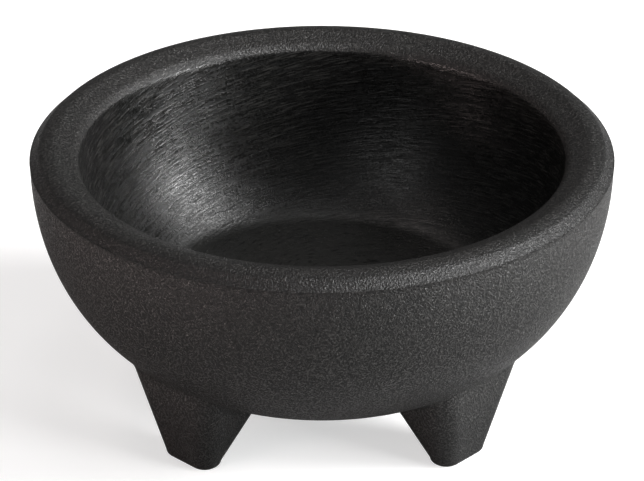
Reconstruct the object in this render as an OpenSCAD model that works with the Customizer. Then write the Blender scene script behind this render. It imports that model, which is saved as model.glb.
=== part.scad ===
// Molcajete: a thick-walled moulded bowl that stands on four tapered feet.
// Origin: middle of the footprint, on the surface the feet stand on. +Z up, front between two feet on -Y.

/* [Bowl] */
// Outer diameter over the edge line of the rim
bowl_d = 160; // [140:1:180]
// Height from the table to the top of the rim
bowl_h = 79; // [72:0.5:90]
// Height of the flat underside above the table
underside_z = 15.5; // [12:0.5:18]
// Radius of the flat part of the underside
underside_r = 32; // [26:0.5:36]
// Radius at which the belly turns under the bowl
belly_r = 53; // [51:0.5:55]
// Height at which the belly turns under the bowl
belly_z = 21.5; // [20:0.25:23]

/* [Rim] */
// Width of the rim from its crown out to the edge line
rim_out_w = 6; // [4:0.1:8]
// Slope of the rim's top where it reaches the shoulder, in degrees
rim_tilt = 24; // [5:1:30]
// Length of the straight shoulder above the edge line
shoulder_len = 3.1; // [1:0.1:3.5]
// Slope of the shoulder, in degrees
shoulder_slope = 46; // [40:1:60]
// Rounding between the rim's top and the shoulder
shoulder_round = 2.1; // [0.5:0.1:2.5]
// Width of the rim from its crown in to the bowl's mouth
rim_in_w = 7.4; // [6:0.1:8]
// Slope of the inner half of the rim, in degrees
rim_slope = 22; // [15:0.5:26]
// Radius of the crown on its inner side
crown_round = 3.2; // [1:0.1:5]
// Rounding of the mouth's edge
mouth_round = 3.6; // [1:0.1:4]

/* [Inside] */
// Height of the inner floor above the table
floor_z = 29; // [26:0.5:32]
// Radius of the flat inner floor
floor_r = 46.5; // [40:0.5:50]
// Radius of the fillet between floor and wall
floor_fillet = 6.5; // [4:0.5:12]
// Slope of the wall where it meets the fillet, in degrees
wall_foot_slope = 38; // [34:1:60]

/* [Feet] */
// Outer radius of a sole from the bowl's axis
sole_out_r = 55.7; // [52:0.1:60]
// Inner radius of a sole from the bowl's axis
sole_in_r = 46.7; // [42:0.1:50]
// Width of a sole round the bowl
sole_w = 17.7; // [14:0.1:22]
// Edge rounding of a sole
sole_round = 1.6; // [0.5:0.1:2.5]
// Outer radius of a foot at its root
root_out_r = 61.7; // [60:0.1:63]
// Inner radius of a foot at its root
root_in_r = 26.1; // [22:0.1:32]
// Width of a foot at its root
root_w = 35.9; // [30:0.1:40]
// Corner rounding of a foot at its root
root_round = 5.5; // [3:0.1:8]
// Height at which the foot has its root section, inside the bowl
root_z = 31.6; // [30:0.1:33]

/* [Hidden] */

charcoal = [0.13, 0.13, 0.13];
$fn = 96;

// Number of steps along a curve of the bowl's section
curve_steps = 20;
arc_steps = 6;
// Sides of the round corners of a foot
corner_fn = 32;
// Steps of the rounded edge of a sole
edge_steps = 3;
// Thickness of the thin slices that a foot is spanned from
slab = 0.01;

edge_r = bowl_d / 2;
crown_r = edge_r - rim_out_w;

// Outer half of the rim: a wide arc, level at the crown, then a small one, then the straight shoulder
bend_out_r = edge_r - shoulder_len * cos(shoulder_slope);
bend_mid_r = bend_out_r - shoulder_round * sin(shoulder_slope);
bend_in_r = bend_mid_r + shoulder_round * sin(rim_tilt);
rim_arc_r = (bend_in_r - crown_r) / sin(rim_tilt);
bend_in_z = bowl_h - rim_arc_r * (1 - cos(rim_tilt));
bend_mid_z = bend_in_z - shoulder_round * cos(rim_tilt);
bend_out_z = bend_mid_z + shoulder_round * cos(shoulder_slope);
edge_z = bend_out_z - shoulder_len * sin(shoulder_slope);

// Outer wall: a cubic curve from the lower belly up to the rim's edge line, level with
// the curve that carries it on to the flat underside
belly = [belly_r, belly_z];
belly_pull = [14.1, 8.2];
wall_pull = [0.2, -27];
underside_knee = [belly[0] - (belly[1] - underside_z) * belly_pull[0] / belly_pull[1], underside_z];

// Inner half of the rim: a short arc, a slope, then the rounded edge of the mouth
crown_in = [crown_r - crown_round * sin(rim_slope), bowl_h - crown_round * (1 - cos(rim_slope))];
slope_run = rim_in_w - crown_round * sin(rim_slope) - mouth_round * (1 - sin(rim_slope));
slope_end = crown_in - slope_run * [1, tan(rim_slope)];
mouth_mid = slope_end + mouth_round * [sin(rim_slope), -cos(rim_slope)];
mouth = mouth_mid - [mouth_round, 0];

// Inner wall: a cubic curve from the mouth down to the floor's fillet
wall_foot = [floor_r + floor_fillet * sin(wall_foot_slope), floor_z + floor_fillet * (1 - cos(wall_foot_slope))];
mouth_pull = [-0.3, -14];
wall_foot_reach = 16;
wall_foot_pull = wall_foot_reach * [cos(wall_foot_slope), sin(wall_foot_slope)];

function bezier2(a, b, c, t) = (1 - t) * (1 - t) * a + 2 * t * (1 - t) * b + t * t * c;
function bezier3(a, b, c, d, t) =
    pow(1 - t, 3) * a + 3 * t * pow(1 - t, 2) * b + 3 * t * t * (1 - t) * c + pow(t, 3) * d;
function steps(n) = [for (i = [1 : n]) i / n];

// Half section of the outside, from the axis under the bowl up to the crown of the rim
outside = concat(
    [[0, underside_z], [underside_r, underside_z]],
    [for (t = steps(arc_steps)) bezier2([underside_r, underside_z], underside_knee, belly, t)],
    [for (t = steps(curve_steps))
        bezier3(belly, belly + belly_pull, [edge_r, edge_z] + wall_pull, [edge_r, edge_z], t)],
    [for (t = concat([0], steps(arc_steps))) let (a = shoulder_slope + (rim_tilt - shoulder_slope) * t)
        [bend_mid_r + shoulder_round * sin(a), bend_mid_z + shoulder_round * cos(a)]],
    [for (t = steps(arc_steps)) let (a = rim_tilt * (1 - t))
        [crown_r + rim_arc_r * sin(a), bowl_h - rim_arc_r * (1 - cos(a))]]
);

// Half section of the inside, from the crown of the rim down to the axis on the floor
inside = concat(
    [for (t = steps(arc_steps)) let (a = rim_slope * t)
        [crown_r - crown_round * sin(a), bowl_h - crown_round * (1 - cos(a))]],
    [for (t = concat([0], steps(arc_steps))) let (a = rim_slope + (90 - rim_slope) * t)
        mouth_mid + mouth_round * [-sin(a), cos(a)]],
    [for (t = steps(curve_steps))
        bezier3(mouth, mouth + mouth_pull, wall_foot + wall_foot_pull, wall_foot, t)],
    [for (t = steps(arc_steps)) let (a = wall_foot_slope * (1 - t))
        [floor_r + floor_fillet * sin(a), floor_z + floor_fillet * (1 - cos(a))]],
    [[0, floor_z]]
);

// Everything inside the bowl's outer surface, hollow filled in
module bowl_blank() {
    rotate_extrude() polygon(concat(outside, [[0, bowl_h]]));
}

module bowl() {
    color(charcoal) rotate_extrude() polygon(concat(outside, inside));
}

// One thin slice of a foot: a rectangle with round corners, long side round the bowl
module foot_slice(in_r, out_r, w, round_r, z) {
    translate([0, 0, z]) linear_extrude(slab) hull()
        for (r = [in_r + round_r, out_r - round_r], s = [-1, 1])
            translate([s * (w / 2 - round_r), -r]) circle(round_r, $fn = corner_fn);
}

// A foot that points to -Y, cut to the bowl's underside
module foot_blank() {
    sole_corner = (sole_out_r - sole_in_r) / 2 - slab;
    difference() {
        hull() {
            for (i = [0 : edge_steps]) let (a = 90 * i / edge_steps, inset = sole_round * (1 - sin(a)))
                foot_slice(sole_in_r + inset, sole_out_r - inset, sole_w - 2 * inset,
                           sole_corner - inset, sole_round * (1 - cos(a)));
            foot_slice(root_in_r, root_out_r, root_w, root_round, root_z);
        }
        bowl_blank();
    }
}

// Turn from the front, in degrees, towards the right positive
module foot(turn) {
    color(charcoal) rotate([0, 0, turn]) foot_blank();
}

module foot_front_left() { foot(-45); }
module foot_front_right() { foot(45); }
module foot_rear_left() { foot(-135); }
module foot_rear_right() { foot(135); }

bowl();
foot_front_left();
foot_front_right();
foot_rear_left();
foot_rear_right();
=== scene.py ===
import math

import bmesh
import bpy
import numpy as np
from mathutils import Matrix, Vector


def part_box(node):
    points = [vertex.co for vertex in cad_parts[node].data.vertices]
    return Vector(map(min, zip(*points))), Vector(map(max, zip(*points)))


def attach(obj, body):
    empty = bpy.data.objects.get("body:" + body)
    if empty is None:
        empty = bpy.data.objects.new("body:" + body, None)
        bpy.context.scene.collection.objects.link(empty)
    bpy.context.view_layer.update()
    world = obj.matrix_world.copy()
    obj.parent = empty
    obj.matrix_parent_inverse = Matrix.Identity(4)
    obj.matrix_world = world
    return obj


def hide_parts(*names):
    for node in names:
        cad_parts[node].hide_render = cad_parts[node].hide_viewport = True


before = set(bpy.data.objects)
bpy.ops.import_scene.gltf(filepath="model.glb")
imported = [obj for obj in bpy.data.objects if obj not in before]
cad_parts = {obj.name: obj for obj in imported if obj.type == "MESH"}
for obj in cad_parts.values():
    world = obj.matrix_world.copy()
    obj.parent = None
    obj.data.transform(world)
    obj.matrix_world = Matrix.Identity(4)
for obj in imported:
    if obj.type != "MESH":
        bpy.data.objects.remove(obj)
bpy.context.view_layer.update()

# ---------------------------------------------------------------- sizes, metres, the same as the CAD model's
MM = 0.001
bowl_low, bowl_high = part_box("bowl")
EDGE_R = 80 * MM
TOP_Z = bowl_high[2]
UNDERSIDE_Z = bowl_low[2]
UNDERSIDE_R = 32 * MM
RIM_OUT_W = 6 * MM
RIM_TILT = math.radians(24)
SHOULDER_LEN = 3.1 * MM
SHOULDER_SLOPE = math.radians(46)
SHOULDER_ROUND = 2.1 * MM
RIM_IN_W = 7.4 * MM
RIM_SLOPE = math.radians(22)
CROWN_ROUND = 3.2 * MM
MOUTH_ROUND = 3.6 * MM
FLOOR_Z = 29 * MM
FLOOR_R = 46.5 * MM
FLOOR_FILLET = 6.5 * MM
WALL_FOOT_SLOPE = math.radians(38)
BELLY = np.array([53.0, 21.5]) * MM
BELLY_PULL = np.array([14.1, 8.2]) * MM
WALL_PULL = np.array([0.2, -27.0]) * MM
MOUTH_PULL = np.array([-0.3, -14.0]) * MM
FOOT_OF_WALL_PULL = 16 * MM

# Fine line that the mould leaves round the rim's edge
SEAM_PROUD = 0.12 * MM
SEAM_BELOW = 0.30 * MM
SEAM_STEP = 0.03 * MM

TURNS = 480
MOUTH_POINTS = 12
INSIDE_MOUTH_RINGS = 4  # lowest rings of the mouth's round that already have the inside's material
FOOT_ANGLES = {"foot_front_left": -45, "foot_front_right": 45, "foot_rear_left": -135, "foot_rear_right": 135}

# Outer half of the rim: a wide arc from the crown, a small one, then the straight shoulder down to the edge
CROWN_R = EDGE_R - RIM_OUT_W
BEND_R = EDGE_R - SHOULDER_LEN * math.cos(SHOULDER_SLOPE) - SHOULDER_ROUND * math.sin(SHOULDER_SLOPE)
RIM_ARC_R = (BEND_R + SHOULDER_ROUND * math.sin(RIM_TILT) - CROWN_R) / math.sin(RIM_TILT)
BEND_Z = TOP_Z - RIM_ARC_R * (1 - math.cos(RIM_TILT)) - SHOULDER_ROUND * math.cos(RIM_TILT)
EDGE_Z = BEND_Z + SHOULDER_ROUND * math.cos(SHOULDER_SLOPE) - SHOULDER_LEN * math.sin(SHOULDER_SLOPE)


# ---------------------------------------------------------------- curves
def bezier2(a, b, c, n):
    t = np.linspace(0, 1, n)[:, None]
    return (1 - t) ** 2 * a + 2 * t * (1 - t) * b + t**2 * c


def bezier3(a, b, c, d, n):
    t = np.linspace(0, 1, n)[:, None]
    return (1 - t) ** 3 * a + 3 * t * (1 - t) ** 2 * b + 3 * t**2 * (1 - t) * c + t**3 * d


def arc(centre, radius, start, end, n):
    """Points on a circle; angles are measured from straight up, outwards positive."""
    a = np.linspace(start, end, n)
    return np.stack([centre[0] + radius * np.sin(a), centre[1] + radius * np.cos(a)], 1)


def outer_section():
    """Radius and height of the outside, from the underside's flat up to the rim's edge line."""
    edge = np.array([EDGE_R, EDGE_Z])
    flat_end = np.array([UNDERSIDE_R, UNDERSIDE_Z])
    knee = np.array([BELLY[0] - (BELLY[1] - UNDERSIDE_Z) * BELLY_PULL[0] / BELLY_PULL[1], UNDERSIDE_Z])
    under = bezier2(flat_end, knee, BELLY, 14)
    wall = bezier3(BELLY, BELLY + BELLY_PULL, edge + WALL_PULL, edge, 60)
    return np.vstack([under[:-1], wall])


def rim_section():
    """From just past the edge line, over the crown, down to the mouth."""
    bend = arc((BEND_R, BEND_Z), SHOULDER_ROUND, SHOULDER_SLOPE, RIM_TILT, 8)
    shoulder = np.linspace((EDGE_R, EDGE_Z), bend[0], 7)
    top = arc((CROWN_R, TOP_Z - RIM_ARC_R), RIM_ARC_R, RIM_TILT, 0, 8)
    crown = arc((CROWN_R, TOP_Z - CROWN_ROUND), CROWN_ROUND, 0, -RIM_SLOPE, 6)
    run = RIM_IN_W - CROWN_ROUND * math.sin(RIM_SLOPE) - MOUTH_ROUND * (1 - math.sin(RIM_SLOPE))
    slope_end = crown[-1] - run * np.array([1, math.tan(RIM_SLOPE)])
    mid = slope_end + MOUTH_ROUND * np.array([math.sin(RIM_SLOPE), -math.cos(RIM_SLOPE)])
    mouth = arc(mid, MOUTH_ROUND, -RIM_SLOPE, -math.pi / 2, MOUTH_POINTS)
    slope = np.linspace(crown[-1], slope_end, 6)
    return np.vstack([shoulder[:-1], bend, top[1:], crown[1:], slope[1:-1], mouth])


def inner_section(mouth):
    """From the mouth down the inner wall, round the fillet and in to the floor's flat."""
    a = WALL_FOOT_SLOPE
    foot = np.array([FLOOR_R + FLOOR_FILLET * math.sin(a), FLOOR_Z + FLOOR_FILLET * (1 - math.cos(a))])
    pull = FOOT_OF_WALL_PULL * np.array([math.cos(a), math.sin(a)])
    wall = bezier3(mouth, mouth + MOUTH_PULL, foot + pull, foot, 60)
    fillet = arc((FLOOR_R, FLOOR_Z + FLOOR_FILLET), FLOOR_FILLET, math.pi - a, math.pi, 12)
    return np.vstack([wall[1:], fillet[1:]])


def flat_disc(radius, z, rings, inwards):
    """Radius and height of the rings that fill a flat, without its edge and its centre."""
    r = np.linspace(0, radius, rings + 1)[1:-1]
    r = r[::-1] if inwards else r
    return np.stack([r, np.full(len(r), z)], 1)


# ---------------------------------------------------------------- meshes
def make_object(name, bm, materials):
    mesh = bpy.data.meshes.new(name)
    bmesh.ops.recalc_face_normals(bm, faces=bm.faces)
    bm.to_mesh(mesh)
    bm.free()
    for m in materials:
        mesh.materials.append(m)
    obj = bpy.data.objects.new(name, mesh)
    bpy.context.scene.collection.objects.link(obj)
    return obj


def revolve(bm, section, turns, slot_of_ring):
    """A closed solid of revolution; the section starts and ends near the axis and is capped there."""
    angle = np.arange(turns) * 2 * math.pi / turns
    rings = [[bm.verts.new((r * math.sin(a), -r * math.cos(a), z)) for a in angle] for r, z in section]
    for i in range(len(rings) - 1):
        low, high = rings[i], rings[i + 1]
        for j in range(turns):
            k = (j + 1) % turns
            face = bm.faces.new((low[j], low[k], high[k], high[j]))
            face.smooth = True
            face.material_index = slot_of_ring(i)
    for i, slot in ((0, slot_of_ring(0)), (-1, slot_of_ring(len(section)))):
        ring = rings[i]
        hub = bm.verts.new((0, 0, section[i][1]))
        for j in range(turns):
            face = bm.faces.new((ring[j], ring[(j + 1) % turns], hub))
            face.smooth = True
            face.material_index = slot
    return rings


def build_bowl(outside_mat, inside_mat):
    """The whole bowl as one closed shell, with a sharp fine line at the rim's edge."""
    outer = outer_section()
    rim = rim_section()
    inner = inner_section(rim[-1])
    edge = outer[-1]
    seam = edge + np.array([[0, -SEAM_BELOW], [SEAM_PROUD, 0], [0, SEAM_STEP]])
    first = flat_disc(UNDERSIDE_R, UNDERSIDE_Z, 6, False)
    last = flat_disc(FLOOR_R, FLOOR_Z, 10, True)
    up_to_mouth = np.vstack([first, outer[:-1], seam, rim[1:]])
    section = np.vstack([up_to_mouth, inner, last])
    seam_at = len(first) + len(outer)
    inside_from = len(up_to_mouth) - INSIDE_MOUTH_RINGS
    bm = bmesh.new()
    rings = revolve(bm, section, TURNS, lambda i: 1 if i >= inside_from else 0)
    for j in range(TURNS):
        edge_line = bm.edges.get((rings[seam_at][j], rings[seam_at][(j + 1) % TURNS]))
        edge_line.smooth = False
    return make_object("bowl_shell", bm, [outside_mat, inside_mat])


class Underside:
    """The bowl's outer surface below the rim, as a height over each radius, in metres."""

    POINTS_BELOW_RIM = 8  # the wall is nearly upright here, so it is left out

    def __init__(self):
        flat = np.array([[0, UNDERSIDE_Z], [UNDERSIDE_R * 0.98, UNDERSIDE_Z]])
        line = np.vstack([flat, outer_section()[:-self.POINTS_BELOW_RIM]])
        self.r, self.z = line[:, 0], line[:, 1]

    def height(self, x, y):
        return np.interp(math.hypot(x, y), self.r, self.z)

    def normal(self, x, y):
        r = math.hypot(x, y)
        step = 0.4 * MM
        rise = np.interp(r + step, self.r, self.z) - np.interp(r - step, self.r, self.z)
        return Vector((x / r * rise, y / r * rise, -2 * step)).normalized()


# Foot sections as (inner radius, outer radius, width, corner radius, height)
SOLE = np.array([46.7, 55.7, 17.7, 4.4, 1.6]) * MM
ROOT = np.array([26.1, 61.7, 35.9, 7.0, 31.6]) * MM
SOLE_ROUND = 1.6 * MM
BLEND = 1.3 * MM  # fillet where a foot meets the bowl
BLEND_PULL = 0.62 * BLEND
TUCK = 0.5 * MM  # how far a foot's top goes into the bowl
CORNER_POINTS = 11
SIDE_POINTS = 7


def foot_outline(section, inset=0.0):
    """Closed outline of one foot section, always with the same number of points in the same order."""
    in_r, out_r, width, corner, z = section
    corner = max(corner - inset, 0.1 * MM)
    half_w = width / 2 - inset - corner
    low, high = in_r + inset + corner, out_r - inset - corner
    mids = [(half_w, high, 0), (-half_w, high, 90), (-half_w, low, 180), (half_w, low, 270)]
    points = []
    for i, (v, u, start) in enumerate(mids):
        for a in np.radians(np.linspace(start, start + 90, CORNER_POINTS)):
            points.append((v + corner * math.cos(a), u + corner * math.sin(a)))
        side_start = np.array(points[-1])
        next_v, next_u, _ = mids[(i + 1) % 4]
        a = math.radians(start + 90)
        side_end = np.array([next_v + corner * math.cos(a), next_u + corner * math.sin(a)])
        for t in np.linspace(0, 1, SIDE_POINTS + 2)[1:-1]:
            points.append(tuple((1 - t) * side_start + t * side_end))
    return np.array([(v, -u, z) for v, u in points])


def meet_underside(start, end, under):
    """Point where the line from the sole to the root reaches the bowl, by halving."""
    line = end - start
    low, high = 0.0, 1.0
    for _ in range(40):
        mid = (low + high) / 2
        p = start + line * mid
        if p.z < under.height(p.x, p.y):
            low = mid
        else:
            high = mid
    return start + line * low


def foot_column(start, end, around, under):
    """Points up one line of a foot: straight, then a fillet on to the bowl, then a tuck into it."""
    up = (end - start).normalized()
    side = around.cross(up).normalized()
    outwards = Vector((start.x, start.y + (SOLE[0] + SOLE[1]) / 2, 0))
    if side.dot(outwards) < 0:
        side = -side
    joint = meet_underside(start, end, under)
    skin = under.normal(joint.x, joint.y)
    along = (side - skin * side.dot(skin)).normalized()
    leave = joint - up * BLEND
    land = joint + along * BLEND
    land.z = under.height(land.x, land.y)
    skin = under.normal(land.x, land.y)
    along = (along - skin * along.dot(skin)).normalized()
    pulls = (leave, leave + up * BLEND_PULL, land - along * BLEND_PULL, land)
    straight = np.linspace(np.array(start), np.array(leave), 14)
    fillet = bezier3(*(np.array(point) for point in pulls), 9)
    tucked = np.array(land - skin * TUCK)
    return np.vstack([straight, fillet[1:], tucked])


def build_foot(name, turn, material, under):
    """One foot: a rounded sole, flat sides that widen upwards, and a fillet on to the bowl."""
    sole, root = foot_outline(SOLE), foot_outline(ROOT)
    count = len(sole)
    around = np.roll(sole, -1, 0) - np.roll(sole, 1, 0)
    columns = np.array([
        foot_column(Vector(sole[j]), Vector(root[j]), Vector(around[j]), under) for j in range(count)
    ])
    rings = []
    for a in np.radians(np.linspace(0, 90, 7))[:-1]:
        outline = foot_outline(SOLE, SOLE_ROUND * (1 - math.sin(a)))
        outline[:, 2] = SOLE_ROUND * (1 - math.cos(a))
        rings.append(outline)
    rings += [columns[:, k] for k in range(columns.shape[1])]

    turn = math.radians(turn)
    c, s = math.cos(turn), math.sin(turn)
    bm = bmesh.new()
    grid = [[bm.verts.new((x * c - y * s, x * s + y * c, z)) for x, y, z in ring] for ring in rings]
    for low, high in zip(grid, grid[1:]):
        for j in range(count):
            k = (j + 1) % count
            face = bm.faces.new((low[j], low[k], high[k], high[j]))
            face.smooth = True
    bm.faces.new(grid[0][::-1])
    hub = bm.verts.new(sum((v.co for v in grid[-1]), Vector()) / count)
    for j in range(count):
        k = (j + 1) % count
        bm.faces.new((grid[-1][j], grid[-1][k], hub))
        bm.edges.get((grid[-2][j], grid[-2][k])).smooth = False
    return make_object(name, bm, [material])


# ---------------------------------------------------------------- materials
class Nodes:
    """Short calls for building one material's node tree."""

    def __init__(self, name):
        self.material = bpy.data.materials.new(name)
        self.material.use_nodes = True
        self.tree = self.material.node_tree
        self.shader = self.tree.nodes["Principled BSDF"]
        self.place = self.tree.nodes.new("ShaderNodeTexCoord").outputs["Object"]

    def link(self, a, b):
        self.tree.links.new(a, b)

    def node(self, kind, **values):
        n = self.tree.nodes.new(kind)
        for key, value in values.items():
            setattr(n, key, value)
        return n

    def math(self, operation, a, b=0.0):
        n = self.node("ShaderNodeMath", operation=operation)
        for socket, value in zip(n.inputs, (a, b)):
            if isinstance(value, (int, float)):
                socket.default_value = value
            else:
                self.link(value, socket)
        return n.outputs[0]

    def scaled(self, vector, scale):
        n = self.node("ShaderNodeVectorMath", operation="MULTIPLY")
        self.link(vector, n.inputs[0])
        n.inputs[1].default_value = scale
        return n.outputs[0]

    def turned(self, vector, degrees):
        """The vector turned about the X axis and then the Z axis, so that a grain lies across both."""
        n = self.node("ShaderNodeVectorRotate", rotation_type="EULER_XYZ")
        self.link(vector, n.inputs["Vector"])
        n.inputs["Rotation"].default_value = (math.radians(degrees), 0, math.radians(degrees))
        return n.outputs[0]

    def radius_and_height(self):
        """Distance from the bowl's axis, and height above the table."""
        flat = self.node("ShaderNodeVectorMath", operation="LENGTH")
        self.link(self.scaled(self.place, (1, 1, 0)), flat.inputs[0])
        split = self.node("ShaderNodeSeparateXYZ")
        self.link(self.place, split.inputs[0])
        return flat.outputs["Value"], split.outputs["Z"]

    def helix(self, climb, pitch, across, along):
        """Noise drawn out along lines that climb the wall as they go round it, with no seam.

        pitch is in radians a metre of climb; across and along are the noise's scales.
        """
        unit = self.node("ShaderNodeVectorMath", operation="NORMALIZE")
        self.link(self.scaled(self.place, (1, 1, 0)), unit.inputs[0])
        wound = self.node("ShaderNodeVectorRotate", rotation_type="Z_AXIS")
        self.link(unit.outputs[0], wound.inputs["Vector"])
        self.link(self.math("MULTIPLY", climb, pitch), wound.inputs["Angle"])
        lift = self.node("ShaderNodeCombineXYZ")
        self.link(self.math("MULTIPLY", climb, along), lift.inputs[2])
        place = self.node("ShaderNodeVectorMath", operation="ADD")
        self.link(self.scaled(wound.outputs[0], (across, across, across)), place.inputs[0])
        self.link(lift.outputs[0], place.inputs[1])
        return self.noise(place.outputs[0], 1, 3, 0.6, 0.3)

    def blend(self, factor, a, b):
        """A number between a and b."""
        n = self.node("ShaderNodeMix", data_type="FLOAT")
        for socket, value in zip((n.inputs[0], n.inputs[2], n.inputs[3]), (factor, a, b)):
            self.link(value, socket)
        return n.outputs[0]

    def noise(self, vector, scale, detail=2.0, roughness=0.5, distortion=0.0):
        n = self.node("ShaderNodeTexNoise")
        self.link(vector, n.inputs["Vector"])
        n.inputs["Scale"].default_value = scale
        n.inputs["Detail"].default_value = detail
        n.inputs["Roughness"].default_value = roughness
        n.inputs["Distortion"].default_value = distortion
        return n.outputs["Fac"]

    def span(self, value, from_low, from_high, to_low=0.0, to_high=1.0):
        """The value stretched from one range to another, and held at its ends."""
        n = self.node("ShaderNodeMapRange")
        self.link(value, n.inputs["Value"])
        keys = ("From Min", "From Max", "To Min", "To Max")
        for key, number in zip(keys, (from_low, from_high, to_low, to_high)):
            n.inputs[key].default_value = number
        return n.outputs["Result"]

    def mix(self, factor, a, b):
        """A colour between a and b."""
        n = self.node("ShaderNodeMix", data_type="RGBA")
        self.link(factor, n.inputs[0])
        for socket, value in ((n.inputs[6], a), (n.inputs[7], b)):
            if isinstance(value, tuple):
                socket.default_value = (*value, 1)
            else:
                self.link(value, socket)
        return n.outputs[2]

    def bump(self, height, strength, distance, under=None):
        """Surface tilt from a height of 0 to 1 that stands for distance, on top of another bump."""
        n = self.node("ShaderNodeBump")
        n.inputs["Strength"].default_value = strength
        n.inputs["Distance"].default_value = distance
        self.link(height, n.inputs["Height"])
        if under:
            self.link(under, n.inputs["Normal"])
        return n.outputs[0]


BLACK = (0.0005, 0.0005, 0.0005)
OUTSIDE_TINTS = (0.0060, 0.0053, 0.0052), (0.0050, 0.0050, 0.0047)
OUTSIDE_FLECK = (0.040, 0.039, 0.0375)
INSIDE_TINTS = (0.0036, 0.0034, 0.0034), (0.0028, 0.0030, 0.0028)
INSIDE_FLOOR_TINTS = (0.0150, 0.0150, 0.0142), (0.0115, 0.0118, 0.0112)
INSIDE_WORN = (0.022, 0.0215, 0.0205)
INSIDE_SCORED = (0.001, 0.001, 0.001)
BOUNCE = (0.30, 0.30, 0.30)


def grained_plastic():
    """Outside, rim and feet: dull charcoal with a fine fibrous grain."""
    m = Nodes("charcoal_grained")

    # Grain: grit of about half a millimetre, crossed by short fibres in two directions
    grit = m.noise(m.place, 1700, 2, 0.7)
    fibre_a = m.noise(m.scaled(m.turned(m.place, 35), (2400, 2400, 600)), 1, 2, 0.6, 0.5)
    fibre_b = m.noise(m.scaled(m.turned(m.place, -50), (700, 2400, 2400)), 1, 2, 0.6, 0.5)
    fibre = m.math("MAXIMUM", fibre_a, fibre_b)
    grain = m.math("ADD", m.math("MULTIPLY", grit, 0.62), m.math("MULTIPLY", fibre, 0.38))

    # Colour: a slow change of tint, light flecks on the grain's tops and black in its pits
    cloud = m.noise(m.place, 28, 3, 0.55)
    tint = m.mix(m.span(cloud, 0.35, 0.65), *OUTSIDE_TINTS)
    light = m.mix(m.span(grain, 0.50, 0.66), tint, OUTSIDE_FLECK)
    dark = m.mix(m.span(grain, 0.52, 0.44), light, BLACK)

    # Painted shade, fitted to measured brightness: a darker shoulder where it turns away from the light, and
    # feet darker towards the soles where the bowl shades them. Tone fitted to measured brightness, cause
    # unknown: a darker shoulder, and feet darker towards the soles
    radius, z = m.radius_and_height()
    above_edge = m.span(z, EDGE_Z - 0.1 * MM, EDGE_Z + 0.2 * MM)
    past_bend = m.span(radius, BEND_R - 0.8 * MM, BEND_R + 0.8 * MM)
    shoulder = m.math("MULTIPLY", above_edge, past_bend)
    # Painted shade on the shoulder: its colour goes up to halfway to black all round
    with_painted_shoulder_shade = m.mix(m.math("MULTIPLY", shoulder, 0.5), dark, BLACK)
    # Painted shade on the feet: their colour goes up to 60% of the way to black from 24 mm down to 10 mm
    painted_sole_shade = m.math("MULTIPLY", m.span(z, 24 * MM, 10 * MM), 0.6)
    m.link(m.mix(painted_sole_shade, with_painted_shoulder_shade, BLACK), m.shader.inputs["Base Color"])

    m.link(m.span(grain, 0.45, 0.59, 0.52, 0.19), m.shader.inputs["Roughness"])
    peel = m.bump(m.noise(m.place, 420, 2), 0.35, 0.06 * MM)
    m.link(m.bump(grain, 1.0, 0.60 * MM, peel), m.shader.inputs["Normal"])
    m.shader.inputs["Specular IOR Level"].default_value = 0.28
    return m.material


def satin_plastic():
    """Inside of the bowl: smoother, with fine brushed marks that climb round the wall."""
    m = Nodes("charcoal_satin")
    radius, z = m.radius_and_height()
    climb = m.math("ADD", radius, z)
    on_floor = m.span(z, FLOOR_Z + 4.5 * MM, FLOOR_Z + 0.5 * MM)

    # Marks: fine hairs and broader strokes on the wall, grooves cut across both, a level grain on the floor
    hairs = m.helix(climb, 58, 32, 750)
    strokes = m.helix(climb, 62, 14, 320)
    groove = m.span(m.helix(climb, 50, 16, 520), 0.43, 0.35)
    speck = m.noise(m.place, 1400, 2, 0.65)
    level = m.noise(m.scaled(m.place, (500, 1500, 1500)), 1, 3, 0.65, 0.5)
    lines = m.blend(on_floor, hairs, level)

    # Colour: nearly black, greyer on the floor and on the tops of the marks
    cloud = m.span(m.noise(m.place, 40, 3, 0.55), 0.35, 0.65)
    base = m.mix(on_floor, m.mix(cloud, *INSIDE_TINTS), m.mix(cloud, *INSIDE_FLOOR_TINTS))
    worn = m.mix(m.span(lines, 0.50, 0.66), base, INSIDE_WORN)
    m.link(m.mix(groove, worn, INSIDE_SCORED), m.shader.inputs["Base Color"])

    # Gloss: the tops of the marks shine, grooves and the floor are duller
    rough = m.math("ADD", m.span(lines, 0.40, 0.60, 0.29, 0.13), m.span(strokes, 0.38, 0.60, 0.08, -0.05))
    rough = m.math("ADD", rough, m.span(speck, 0.38, 0.62, 0.12, -0.06))
    rough = m.math("ADD", rough, m.math("MULTIPLY", on_floor, 0.12))
    rough = m.math("ADD", rough, m.math("MULTIPLY", groove, 0.16))
    m.link(rough, m.shader.inputs["Roughness"])

    marks = m.bump(strokes, 0.8, 0.17 * MM)
    marks = m.bump(m.math("SUBTRACT", 1, groove), 0.6, 0.05 * MM, marks)
    marks = m.bump(lines, 1.0, 0.15 * MM, marks)
    m.link(m.bump(speck, 0.8, 0.10 * MM, marks), m.shader.inputs["Normal"])
    m.shader.inputs["Specular IOR Level"].default_value = 0.30
    return m.material


def floor_material():
    """Pale floor, brighter as seen than as a source of light: that keeps shadows soft and the bounce low."""
    m = Nodes("pale_floor")
    pale = m.mix(m.noise(m.place, 6, 2), (0.60, 0.60, 0.60), (0.62, 0.62, 0.62))
    seen = m.node("ShaderNodeLightPath").outputs["Is Camera Ray"]
    m.link(m.mix(seen, BOUNCE, pale), m.shader.inputs["Base Color"])
    m.shader.inputs["Emission Color"].default_value = (1, 1, 1, 1)
    m.link(m.math("MULTIPLY", seen, 0.55), m.shader.inputs["Emission Strength"])
    m.shader.inputs["Roughness"].default_value = 0.9
    m.shader.inputs["Specular IOR Level"].default_value = 0.1
    return m.material


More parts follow.
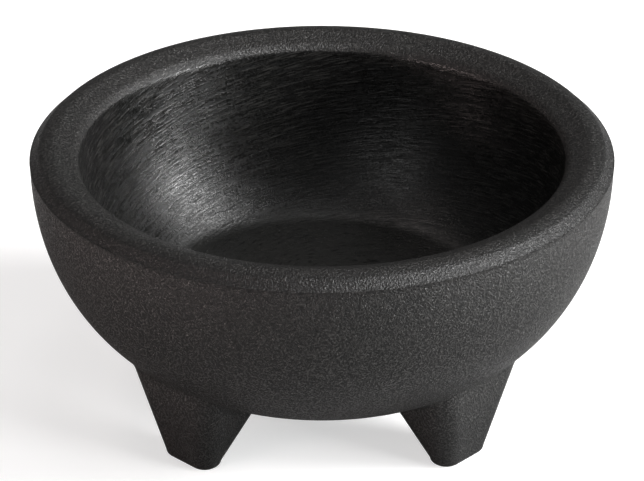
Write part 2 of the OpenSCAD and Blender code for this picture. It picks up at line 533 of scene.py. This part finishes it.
# ---------------------------------------------------------------- stage
FLOOR_RADIUS = 6.0
WORLD_LIGHT = 0.19
SOFTBOX_DISTANCE = 1.2
SOFTBOX_AIM = Vector((0, 0, TOP_Z * 0.6))
WHITE = (1.0, 1.0, 1.0)
ROSE = (1.0, 0.82, 0.79)
PALE_ROSE = (1.0, 0.90, 0.87)

# Name, azimuth from the front with right positive, elevation, width, height, watts, colour
SOFTBOXES = [
    ("key_wide", 79, 22, 0.38, 0.25, 21, WHITE),
    ("key_low", 62, 8, 0.40, 0.25, 20, WHITE),
    ("key_high", 87, 43, 0.38, 0.42, 12.5, WHITE),
    ("top", 0, 88, 0.25, 0.25, 0.9, WHITE),
    ("left_low", -61, 2.5, 0.34, 0.14, 8.8, ROSE),
    ("left_side", -80, 8, 0.40, 0.25, 2.7, ROSE),
    ("left_high", -120, 62, 0.25, 0.25, 1.3, PALE_ROSE),
    ("front", -42, 30, 0.40, 0.40, 1.7, WHITE),
]

CAMERA_ELEVATION = math.radians(28.08)
CAMERA_AZIMUTH = math.radians(-1.43)
CAMERA_DISTANCE = 0.970
CAMERA_AIM = Vector((0, 0, 0.0480))
CAMERA_LENS = 194.9


def add_floor():
    bm = bmesh.new()
    bmesh.ops.create_circle(bm, cap_ends=True, segments=96, radius=FLOOR_RADIUS)
    floor = make_object("floor", bm, [floor_material()])


def place_and_aim(obj, azimuth, elevation, distance, target):
    """Puts obj at a distance from target, turned to face it; the front is azimuth 0."""
    flat = math.cos(elevation)
    way = Vector((math.sin(azimuth) * flat, -math.cos(azimuth) * flat, math.sin(elevation)))
    obj.location = target + distance * way
    obj.rotation_euler = (target - obj.location).to_track_quat("-Z", "Y").to_euler()
    bpy.context.scene.collection.objects.link(obj)


def add_softbox(name, azimuth, elevation, width, height, watts, colour):
    light = bpy.data.lights.new(name, "AREA")
    light.shape = "RECTANGLE"
    light.size = width
    light.size_y = height
    light.energy = watts
    light.color = colour
    obj = bpy.data.objects.new(name, light)
    place_and_aim(obj, math.radians(azimuth), math.radians(elevation), SOFTBOX_DISTANCE, SOFTBOX_AIM)


def add_world():
    """White backdrop as seen, a dimmer one as light."""
    world = bpy.data.worlds.new("studio")
    bpy.context.scene.world = world
    world.use_nodes = True
    tree = world.node_tree
    back = tree.nodes["Background"]
    path = tree.nodes.new("ShaderNodeLightPath")
    pick = tree.nodes.new("ShaderNodeMapRange")
    pick.inputs["To Min"].default_value = WORLD_LIGHT
    pick.inputs["To Max"].default_value = 1.0
    tree.links.new(path.outputs["Is Camera Ray"], pick.inputs["Value"])
    tree.links.new(pick.outputs["Result"], back.inputs["Strength"])
    back.inputs["Color"].default_value = (1, 1, 1, 1)


def add_camera():
    """Long lens, looking down at the bowl from the front."""
    camera = bpy.data.cameras.new("camera")
    camera.lens = CAMERA_LENS
    camera.sensor_width = 36
    camera.clip_start = 0.01
    obj = bpy.data.objects.new("camera", camera)
    place_and_aim(obj, CAMERA_AZIMUTH, CAMERA_ELEVATION, CAMERA_DISTANCE, CAMERA_AIM)
    bpy.context.scene.camera = obj


# ---------------------------------------------------------------- build
outside = grained_plastic()
inside = satin_plastic()

bowl = build_bowl(outside, inside)
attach(bowl, "root")
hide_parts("bowl")

under = Underside()
for node, angle in FOOT_ANGLES.items():
    foot = build_foot(node + "_skin", angle, outside, under)
    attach(foot, "root")
    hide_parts(node)

add_floor()
add_world()
for softbox in SOFTBOXES:
    add_softbox(*softbox)
add_camera()
bpy.context.scene.view_settings.view_transform = "Standard"
